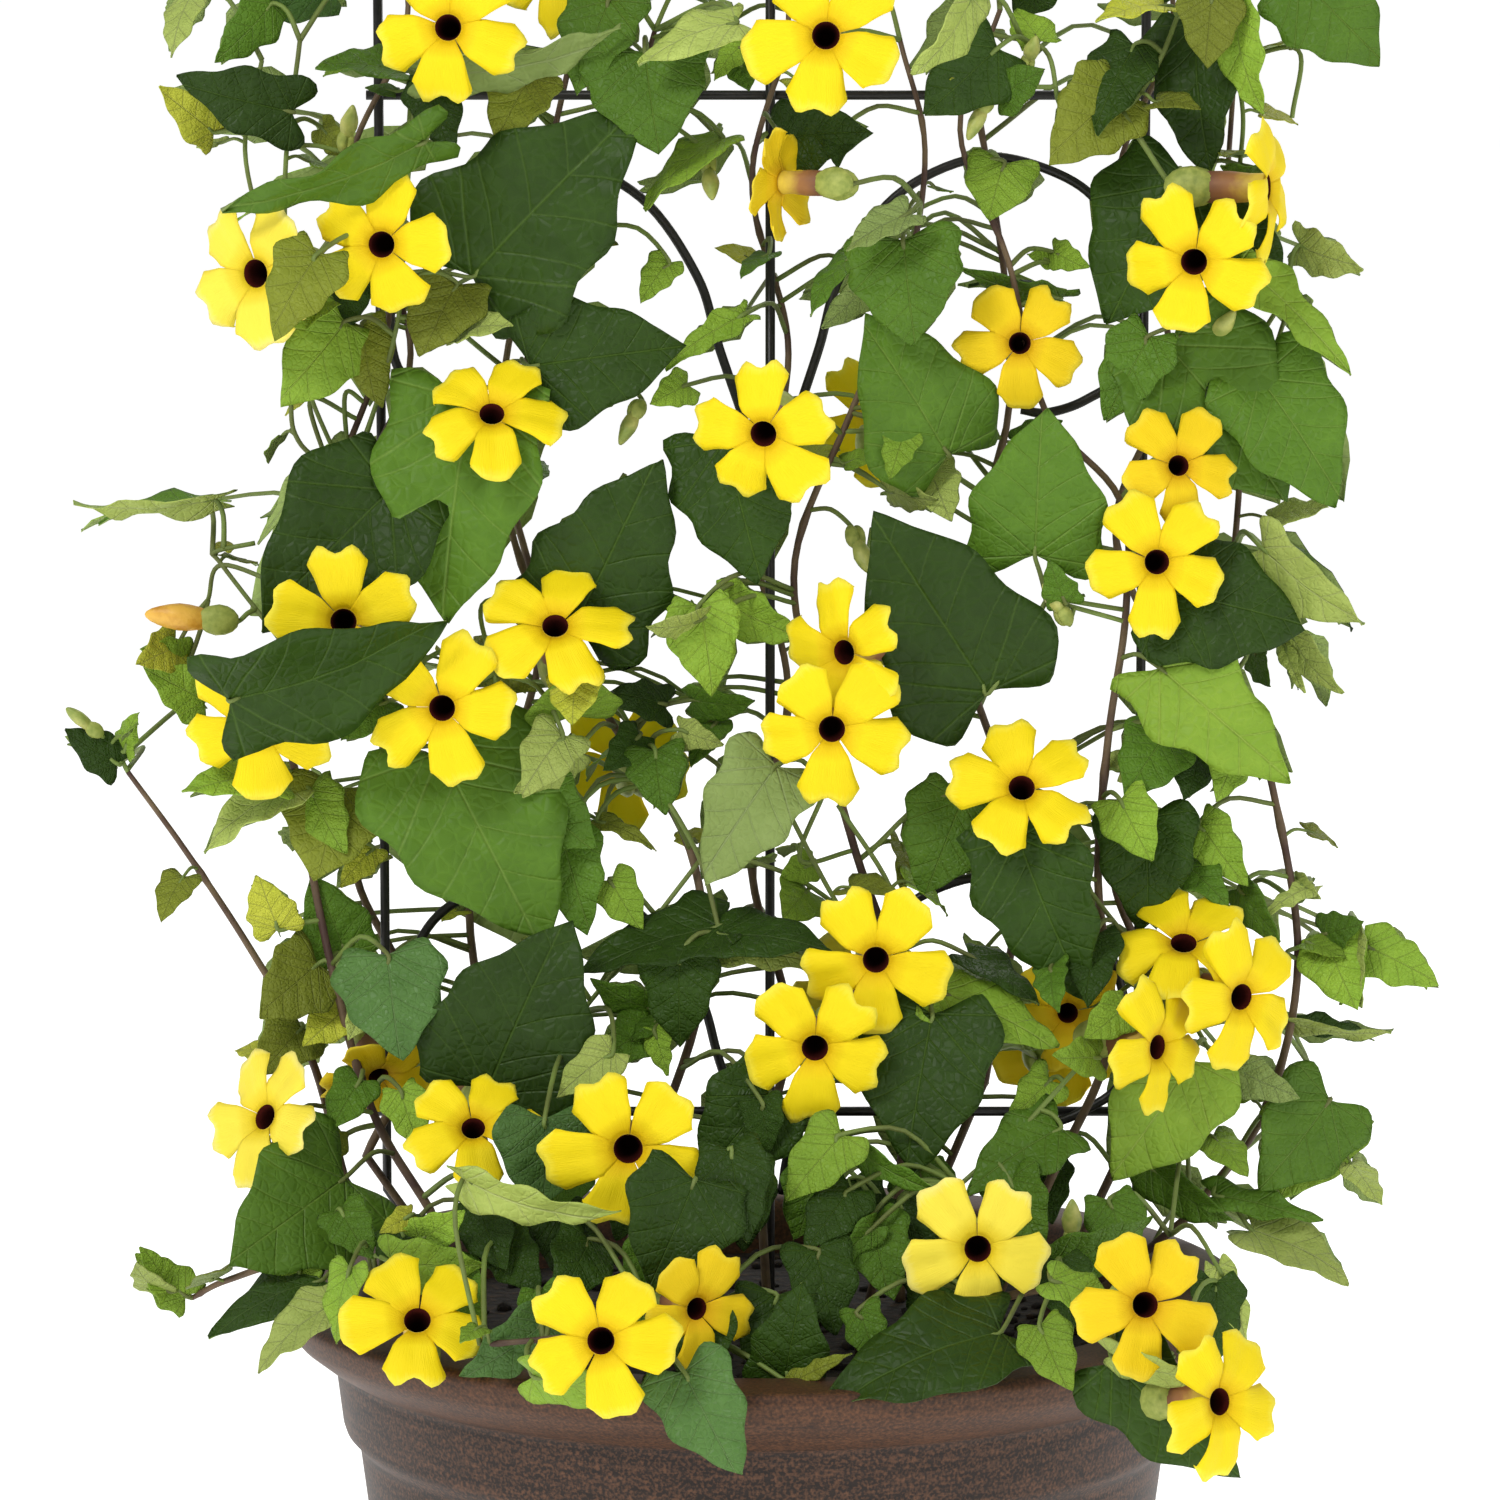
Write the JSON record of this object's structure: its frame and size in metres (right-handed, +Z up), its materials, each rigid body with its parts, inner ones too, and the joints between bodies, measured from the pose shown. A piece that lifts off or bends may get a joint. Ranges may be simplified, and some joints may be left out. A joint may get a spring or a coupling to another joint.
{
  "type": "black eyed susan vine",
  "caption": "Climbing vine with heart-shaped leaves and dark-eyed yellow flowers on a black wire trellis, in a round bronze pot.",
  "frame": {"origin": "centre of the pot's flat underside, on the surface that the pot stands on", "axes": "+Z up the trellis, +X to the right and -Y towards the viewer, whose side carries most of the flowers; the trellis lies in a plane across X"},
  "size_m": [0.4193, 0.3265, 0.8015],
  "materials": {
    "pot": "moulded, bronze coloured with a fine copper speckle",
    "soil": "loose dark peat with bark fines",
    "wire": "black powder coat",
    "stem": "thin green to brown bark, matte",
    "leaf": "soft, faintly glossy leaf with raised veins",
    "flower": "matte velvety petal, dark maroon at the eye"
  },
  "bodies": {
    "root": {"flower_back_left": "flower", "flower_back_right": "flower", "flower_centre": "flower", "flower_crown": "flower", "flower_left_middle": "flower", "flower_low_centre": "flower", "flower_low_left": "flower", "flower_middle": "flower", "flower_right_low": "flower", "flower_rim_left": "flower", "flower_rim_right": "flower", "flower_top_left": "flower", "flower_top_middle": "flower", "flower_upper_right": "flower", "leaf_back_left": "leaf", "leaf_back_low_left": "leaf", "leaf_back_low_right": "leaf", "leaf_back_right": "leaf", "leaf_centre_big": "leaf", "leaf_crown_left": "leaf", "leaf_crown_right": "leaf", "leaf_far_left": "leaf", "leaf_left_big": "leaf", "leaf_left_low": "leaf", "leaf_left_shoot": "leaf", "leaf_low_dark": "leaf", "leaf_right_low": "leaf", "leaf_right_tip": "leaf", "leaf_right_upper": "leaf", "leaf_rim_broad": "leaf", "leaf_rim_middle": "leaf", "leaf_rim_right": "leaf", "leaf_top_left": "leaf", "leaf_top_right": "leaf", "pot": "pot", "soil": "soil", "stem_back_left": "stem", "stem_back_right": "stem", "stem_centre_left": "stem", "stem_centre_right": "stem", "stem_far_left": "stem", "stem_front_right": "stem", "stem_left_front": "stem", "stem_low_front": "stem", "stem_low_left": "stem", "stem_low_right": "stem", "stem_right": "stem", "stem_twined_left": "stem", "stem_twined_middle": "stem", "stem_twined_right": "stem", "trellis_arch": "wire", "trellis_crossbar_lower": "wire", "trellis_crossbar_upper": "wire", "trellis_scroll_lower_left": "wire", "trellis_scroll_lower_right": "wire", "trellis_scroll_upper_left": "wire", "trellis_scroll_upper_right": "wire", "trellis_upright_left": "wire", "trellis_upright_middle": "wire", "trellis_upright_right": "wire"}
  },
  "joints": []
}
